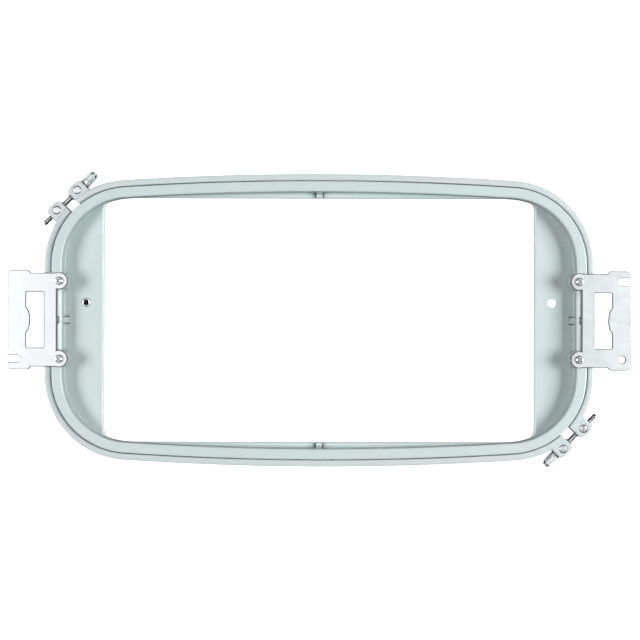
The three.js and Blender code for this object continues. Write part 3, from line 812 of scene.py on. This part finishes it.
def wedge(length):
    """Centre mark: a block reaching towards -X, its back sloping up to the wall at x = 0."""
    profile = [(0.8, 1.7), (-length, 1.7), (-length, 5.2), (-length + 2.0, 5.2), (0.8, 11.5)]
    mesh = bpy.data.meshes.new("work")
    with editing(mesh) as bm:
        left = [bm.verts.new((x, -2.5, z)) for x, z in profile]
        right = [bm.verts.new((x, 2.5, z)) for x, z in profile]
        bm.faces.new(left)
        bm.faces.new(right[::-1])
        for i in range(5):
            j = (i + 1) % 5
            bm.faces.new((left[j], left[i], right[i], right[j]))
        bmesh.ops.recalc_face_normals(bm, faces=bm.faces)
        bmesh.ops.bevel(bm, geom=bm.edges[:], offset=0.3, segments=2, profile=0.5,
                        affect="EDGES")
    return link("work", mesh)


def add_marks(ring):
    """A centre mark on each side, with a narrow groove on either side of it."""
    join(ring, at(wedge(4.5), WALL_X, 0), at(turned(wedge(4.5), 180), -WALL_X, 0))
    join(ring, at(turned(wedge(4.3), 90), 0, WALL_Y), at(turned(wedge(4.3), -90), 0, -WALL_Y))
    groove_z = (0.6, 3.4)
    for s in (1, -1):
        for t in (1, -1):
            cut(ring, box((s * (WALL_X - 0.02), s * (WALL_X - 4.6)),
                          (t * 3.0 - 0.45, t * 3.0 + 0.45), groove_z))
            cut(ring, box((t * 3.35 - 0.5, t * 3.35 + 0.5),
                          (s * (WALL_Y - 0.02), s * (WALL_Y - 4.1)), groove_z))


def cut_short_side_tops(ring):
    """Slopes the inner top edge between the bracket's lobes, with two small slots beside y = 0."""
    top = FRAME_H
    for s in (1, -1):
        low_x, high_x = s * (WALL_X - 1.0), s * (WALL_X + 2.75)
        slope = [(low_x, top - 2.53), (high_x, top), (high_x, top + 1.5), (low_x, top + 1.5)]
        verts = [(x, y, z) for y in (-24.6, 24.6) for x, z in slope]
        cut(ring, solid(verts, [(0, 1, 2, 3), (7, 6, 5, 4)] + bands(0, 4, 4)))
        for t in (1, -1):
            cut(ring, box((s * (WALL_X + 2.2), s * (WALL_X + 3.75)),
                          (t * 2.3 - 0.65, t * 2.3 + 0.65), (top - 2.4, top + 1)))


def inner_frame():
    ring = channel_ring()
    join(ring, *ribs())
    join(ring, floor_panel())
    add_bosses(ring)
    add_marks(ring)
    cut_short_side_tops(ring)
    for s in (1, -1):
        # A shallow notch across the top of the short side, and a round hole in its panel.
        xs = (s * (WALL_X - 2), s * (WALL_X + 5.2))
        cut(ring, loft([(rectangle(xs, (-2.45, 2.45)), FRAME_H - 0.7),
                        (rectangle(xs, (-2.85, 2.85)), FRAME_H + 0.2)]))
        hole = flare(circle(0, 0, PANEL_HOLE_R, 48), 0.02, PANEL_T, 0.45, 0.3, 4)
        cut(ring, at(hole, s * PANEL_HOLE_X, PANEL_HOLE_Y))
    return ring


piece(inner_frame(), "inner_frame", "inner_frame_plastic")


# ---- brackets -----------------------------------------------------------------
def bracket(round_hole):
    """The +X bracket: a plate with two screw lobes, a window and an open-ended slot."""
    inner_x, outer_x, step_x = 222.6, 264.1, 246.2
    narrow_y, wide_y, corner_r, edge = BOSS_Y + LOBE_R - 0.5, 42.2, 4.0, 0.7
    neck_x = BOSS_X + 2.6
    neck_turn = degrees(acos(2.6 / LOBE_R))
    inner_turn = degrees(acos((inner_x - BOSS_X) / LOBE_R))
    points = rounded([
        (step_x - 2, -narrow_y, 1.3), (step_x + 0.4, -wide_y, 1.0), (outer_x, -wide_y, corner_r),
        (outer_x, wide_y, corner_r), (step_x + 0.4, wide_y, 1.0), (step_x - 2, narrow_y, 1.3),
        (neck_x, narrow_y, 0), (neck_x, -narrow_y, 0)], 8)[:-2]
    points += arc(BOSS_X, BOSS_Y, LOBE_R, neck_turn, 360 - inner_turn, 44)
    points += arc(BOSS_X, -BOSS_Y, LOBE_R, inner_turn, 360 - neck_turn, 44)
    plate = prism(points, BRACKET_Z0, 0.3, round_rim(BRACKET_Z1, edge, 6))

    def opening(points, top=edge, bottom=0.3, seg=6):
        return flare(points, BRACKET_Z0, BRACKET_Z1, top, bottom, seg)

    window_x0, window_x1, window_y = 233.2, 248.4, 23.7
    window = rounded([  # x, y, corner radius
        (window_x0, -window_y, 1.3), (window_x1, -window_y, 1.3), (window_x1, -10.9, 0.5),
        (246.3, -8.1, 0.8), (245.4, -4, 3), (245.1, 0, 6), (245.4, 4, 3), (246.3, 8.1, 0.8),
        (window_x1, 10.9, 0.5), (window_x1, window_y, 1.3), (window_x0, window_y, 1.3)], 6)
    slot_r = 3.1
    slot = arc(256, BOSS_Y, slot_r, 90, 270, 20)
    slot += [(outer_x + 6, BOSS_Y - slot_r), (outer_x + 6, BOSS_Y + slot_r)]
    cut(plate, opening(window), opening(slot))
    for y in (BOSS_Y, -BOSS_Y):
        cut(plate, opening(circle(BOSS_X, y, 2.3, 32), 0.2, 0.2, 3))
    if round_hole:
        cut(plate, opening(circle(256.4, -BOSS_Y, 3.15, 48)))
    return plate


piece(bracket(True), "bracket_right", "bracket_steel")
piece(turned(bracket(False), 180), "bracket_left", "bracket_steel")


# ---- bracket screws, inserts, bush -------------------------------------------------
def bracket_screw():
    """Domed cross-recess screw, the underside of its head at z = 0."""
    dome = [(3.4, 0.0), (3.4, 1.0)]
    dome += [(2.35 + 1.05 * cos(radians(a)), 1.0 + 1.16 * sin(radians(a)))
             for a in range(12, 85, 12)]
    dome += [(r, 2.3 - r * r / 42) for r in (2.3, 1.7, 1.1, 0.5)]
    shank = threaded_rod([(-9.0, 1.3), (-8.3, 1.95), (0.3, 1.95)], -8.8, -1.0, 24)
    head = lathe([(0, 0.0)] + dome + [(0, 2.3)], 56)
    join(head, shank)
    recess = ((0.9, 0.36, 0.55), (1.9, 0.44, 1.05), (2.35, 0.55, 2.6))  # half length, width, z
    for turn in (45, 135):
        arm = loft([(rounded([(x, y, 0.2) for x, y in rectangle((-hx, hx), (-hy, hy))], 3), z)
                    for hx, hy, z in recess])
        cut(head, turned(arm, turn))
    return cut(head, lathe([(0, 0.5), (0.5, 0.7), (0.85, 1.5), (0.95, 2.6), (0, 2.6)], 20))


def insert():
    """Knurled threaded insert with a groove round its middle, its top near z = 0."""
    def radius_at(z, share):
        groove = -4.4 < z < -3.7
        knurl = 0 if groove or z > -0.45 or z < -7.6 else 0.14
        wave = abs((share * 22 + z * 0.35) % 1 * 2 - 1)
        return INSERT_R - (0.35 if groove else 0) - knurl * wave

    heights = [-8.0, -7.6, -4.42, -4.38, -3.72, -3.68, -0.45, -0.1]
    heights += [z + 0.25 * i for z in (-7.5, -3.6) for i in range(13)]
    sleeve = field(sorted(heights), 88, radius_at)
    return cut(sleeve, lathe([(0, -9), (2.25, -9), (2.25, -0.5), (2.6, 0.1), (2.6, 1), (0, 1)], 32))


screw, sleeve = bracket_screw(), insert()
for side, sx in (("right", 1), ("left", -1)):
    for end, sy in (("upper", 1), ("lower", -1)):
        x, y, tag = sx * BOSS_X, sy * BOSS_Y, f"{side}_{end}"
        piece(at(copy_of(screw), x, y, BRACKET_Z1 + 0.03), f"bracket_screw_{tag}",
              "bracket_screw_steel")
        piece(at(copy_of(sleeve), x, y, FRAME_H), f"thread_insert_{tag}", "insert_brass")
for obj in (screw, sleeve):
    bpy.data.objects.remove(obj)


def bush():
    r, top = PANEL_HOLE_R - 0.1, PANEL_T
    return lathe([(2.1, 0.2), (r - 0.3, 0.2), (r, 0.5), (r, top + 0.1), (r - 0.05, top + 0.32),
                  (3.4, top + 0.46), (3.1, top + 0.5), (2.65, top + 0.42), (2.3, top + 0.2),
                  (2.1, top - 0.2)], 64, closed=True)


def plug():
    return lathe([(0, 0.4), (1.7, 0.4), (1.95, 0.65), (1.95, 2.05), (1.85, 2.3), (1.55, 2.46),
                  (0.9, 2.5), (0.55, 2.44), (0, 2.4)], 48)


piece(at(bush(), -PANEL_HOLE_X, PANEL_HOLE_Y), "panel_bush", "bush_nickel")
piece(at(plug(), -PANEL_HOLE_X, PANEL_HOLE_Y), "bush_plug", "plug_rubber")


# ---- tension corners --------------------------------------------------------------
def tension_screw(head_u, nut_u):
    """Screw along u, with a neck for the retaining ring beside the knob-side lug."""
    face, end = head_u - LUG_L / 2, head_u + LUG_L / 2 + KNOB_GAP + 8
    start, neck_r = nut_u - TAIL, 1.5
    profile = [(start, 1.5), (start + 0.6, SCREW_R), (face - 1.52, SCREW_R),
               (face - 1.48, neck_r), (face - 0.52, neck_r), (face - 0.48, SCREW_R),
               (end - 0.2, SCREW_R), (end, SCREW_R - 0.2)]
    return laid(threaded_rod(profile, start - 0.4, nut_u + BARREL_R + 6.5, 36), 0)


def knob(head_u):
    """Diamond-knurled knob with a stepped end."""
    ridges, depth = 30, 0.2
    r, end = KNOB_R, KNOB_L
    profile = [  # height, radius
        (0, r - 0.55), (0.35, r - 0.12), (0.6, r), (end - 2.5, r - 0.3), (end - 2.2, r - 0.5),
        (end - 1.15, r - 1.35), (end - 1.0, r - 1.5), (end - 0.55, r - 1.62),
        (end - 0.3, r - 1.75), (end - 0.12, r - 2.0), (end, r - 2.6),
    ]
    pitch = 2 * pi * r / ridges

    def radius_at(z, share):
        fade = max(0.0, min(1.0, (z - 0.3) / 0.3, (end - 2.3 - z) / 0.3))
        right, left = share * ridges + z / pitch, share * ridges - z / pitch
        crest = min(1 - abs(right % 1 * 2 - 1), 1 - abs(left % 1 * 2 - 1), 0.72) / 0.72
        return radius_on(profile, z) - depth * fade * (1 - crest)

    heights = {round(0.1 * i, 3) for i in range(int(end / 0.1))} | {z for z, _ in profile}
    body = field(sorted(heights), 240, radius_at)
    cut(body, lathe([(0, -1), (SCREW_R + 0.35, -1), (SCREW_R + 0.35, 0), (SCREW_R + 0.08, 0.3),
                     (SCREW_R + 0.08, 8.4), (0, 8.9)], 40))
    return laid(body, head_u + LUG_L / 2 + KNOB_GAP)


def washer(head_u):
    r0, r1, z0, z1, e = SCREW_R + 0.15, 4.3, 0.15, 0.75, 0.14
    knee = e * 0.3
    disc = lathe([(r0 + e, z0), (r1 - e, z0), (r1 - knee, z0 + knee), (r1, z0 + e), (r1, z1 - e),
                  (r1 - knee, z1 - knee), (r1 - e, z1), (r0 + e, z1), (r0, z1 - e),
                  (r0, z0 + e)], 64, closed=True)
    return laid(disc, head_u + LUG_L / 2)


def retaining_ring(head_u):
    """E-shaped clip with three prongs, its open side down."""
    inner = []
    for i in range(121):
        angle = 242 - 304 * i / 120
        off_prong = min(abs(angle - prong) for prong in (90, -46, 226))
        rise = max(0.0, min(1.0, (off_prong - 13) / 9))
        radius = 1.62 + 0.75 * (rise * rise * (3 - 2 * rise))
        inner.append((radius * cos(radians(angle)), radius * sin(radians(angle))))
    outer = arc(0, 0, 3.3, -62, 242, 60)
    clip_ring = prism(outer + inner, -0.35, 0.09, round_rim(0.35, 0.09, 2))
    # Footprint x goes to v, y to z, and thickness to u.
    upright = Matrix(((0, 0, 1, 0), (1, 0, 0, 0), (0, 1, 0, 0), (0, 0, 0, 1)))
    place = Matrix.Translation((head_u - LUG_L / 2 - 1.0, SCREW_V, SCREW_Z))
    return move(clip_ring, place @ upright)


def barrel(u, slot_top):
    """Upright cross-bored barrel, slotted across its top or bottom end."""
    z0, z1, r = SCREW_Z - BARREL_L / 2, SCREW_Z + BARREL_L / 2, 0.6
    rim = [(BARREL_R - 0.06 - r + r * cos(radians(t)), z1 - r + r * sin(radians(t)))
           for t in range(0, 91, 18)]
    foot = [(radius, z0 + z1 - z) for radius, z in rim[::-1]]
    body = at(lathe([(0, z0)] + foot + rim + [(1.2, z1), (0, z1 + 0.05)], 64), u, SCREW_V)
    cut(body, laid(lathe([(0, -6), (BARREL_HOLE_R, -6), (BARREL_HOLE_R, 6), (0, 6)], 40), u))
    slot_z = (z1 - 2.0, z1 + 1) if slot_top else (z0 - 1, z0 + 1.4)
    return cut(body, at(turned(box((-5, 5), (-0.7, 0.7), slot_z), 45), u, SCREW_V))


for tag, (turn, head_u, nut_u) in CORNERS.items():
    def place(part, name, slot):
        piece(turned(part, turn), f"{name}_{tag}", slot)

    place(tension_screw(head_u, nut_u), "tension_screw", "shank_steel")
    place(knob(head_u), "knob", "knob_nickel")
    place(washer(head_u), "knob_washer", "small_steel")
    place(retaining_ring(head_u), "retaining_ring", "small_steel")
    place(barrel(head_u, slot_top=False), "pivot_barrel", "barrel_nickel")
    place(barrel(nut_u, slot_top=tag == "b"), "nut_barrel", "barrel_nickel")


# ---- studio, metres ------------------------------------------------------------------
def area(name, location, target, size, watts, colour=(1, 1, 1)):
    light = bpy.data.lights.new(name, "AREA")
    light.shape, light.energy, light.color = "RECTANGLE", watts, colour
    light.size, light.size_y = size
    obj = link(name, light)
    obj.location = location
    obj.rotation_mode = "QUATERNION"
    aim = Vector(target) - Vector(location)
    obj.rotation_quaternion = aim.to_track_quat("-Z", "Y")
    obj.visible_camera = False
    return obj


def lights():
    far = 2.0
    # Name, side, elevation, height of the box, watts, colour.
    for name, side, elevation, tall, watts, colour in (
        ("softbox_left", -1, radians(39), 0.62, 26.8, (1.0, 1.0, 1.0)),
        ("softbox_right", 1, radians(34.5), 0.85, 42.5, (0.965, 1.0, 0.97)),
    ):
        area(name, (side * far * cos(elevation), 0, far * sin(elevation)), target=(0, 0, 0.01),
             size=(0.9, tall), watts=watts, colour=colour)
    # Two cards side by side that only reflections see, for the bright metal.
    for name, x, watts, colour in (
        ("card_left", -0.55, 3.75, (0.985, 0.99, 1.0)),
        ("card_right", 0.55, 2.8, (0.96, 1.0, 1.0)),
    ):
        card = area(name, (x, 0.05, 1.7), target=(x, 0.05, 0), size=(1.1, 1.25), watts=watts,
                    colour=colour)
        card.visible_diffuse = False
    below = area("light_below", (0, 0, -far), target=(0, 0, 0), size=(1.4, 0.9), watts=1.2)
    below.data.spread = radians(8)


def studio_world():
    world = bpy.data.worlds.new("studio")
    bpy.context.scene.world = world
    w = Nodes(world, "OutputWorld")
    direction = w.outputs("SeparateXYZ", {0: w.coords["Generated"]})
    ambient = w.span(direction["Y"], (-0.35, 0.75), to=(0.012, 0.10))
    # Reflections see a brighter band of room between the horizon and the ceiling.
    ceiling = w.span(direction["Z"], (0.62, 0.84), to=(0.42, 0.03))
    room = w.span(direction["Z"], (0.08, 0.36), to=(0.04, ceiling))
    path = w.outputs("LightPath")
    # Inputs 2 and 3 are the Mix node's float sockets.
    seen = w.node("Mix", {0: path["Is Glossy Ray"], 2: ambient, 3: room})
    strength = w.node("Mix", {0: path["Is Camera Ray"], 2: seen, 3: 1.0})
    w.feed(w.surface, w.node("Background", {"Strength": strength, "Color": (0.97, 0.99, 1.0)}))


def floor_paper():
    """White paper: it glows to the camera away from crevices and reflects dimly in metal."""
    m = Nodes(bpy.data.materials.new("floor_paper"))
    fibre = m.span(m.noise(scale=500.0, detail=3.0), (0.3, 0.7))
    paper = m.mix(fibre, (0.90, 0.90, 0.90), (0.92, 0.92, 0.92))
    diffuse = m.node("BsdfDiffuse", {"Color": paper})
    dim = m.node("BsdfDiffuse", {"Color": m.mix(0.85, paper, (0.0, 0.0, 0.0))})
    open_sky = m.span(m.crevice(distance=0.012, samples=9), (0.99, 0.93))
    glow = m.node("Emission", {"Color": (1.0, 1.0, 1.0),
                               "Strength": m.math("MULTIPLY", open_sky, 0.85)})
    both = m.node("AddShader", {0: diffuse, 1: glow})
    path = m.outputs("LightPath")
    surface = m.node("MixShader", {0: path["Is Glossy Ray"], 1: diffuse, 2: dim})
    surface = m.node("MixShader", {0: path["Is Camera Ray"], 1: surface, 2: both})
    # One-sided: the camera sees through it from below, and shadow rays pass it.
    clear = m.node("BsdfTransparent")
    behind = m.node("NewGeometry", out="Backfacing")
    through = m.math("MAXIMUM", behind, path["Is Shadow Ray"])
    m.feed(m.surface, m.node("MixShader", {0: through, 1: surface, 2: clear}))
    return m.owner


def floor():
    """A large square sheet just under the frame."""
    n, size, z = 24, 6.0, -0.0002
    verts = [((i / n - 0.5) * size, (j / n - 0.5) * size, z)
             for j in range(n + 1) for i in range(n + 1)]
    row = n + 1
    faces = [(j * row + i, j * row + i + 1, (j + 1) * row + i + 1, (j + 1) * row + i)
             for j in range(n) for i in range(n)]
    mesh = bpy.data.meshes.new("floor")
    mesh.from_pydata(verts, [], faces)
    sheet = link("floor", mesh)
    mesh.materials.append(floor_paper())


def camera():
    """Looks straight down from about a metre."""
    data = bpy.data.cameras.new("camera")
    data.sensor_width, data.lens = 36.0, 65.41
    data.clip_start, data.clip_end = 0.05, 20.0
    obj = link("camera", data)
    obj.location = (0.00069, 0.00026, 1.002)
    obj.rotation_euler = (0, 0, radians(0.13))
    bpy.context.scene.camera = obj


lights()
studio_world()
floor()
camera()
bpy.context.scene.view_settings.view_transform = "Standard"
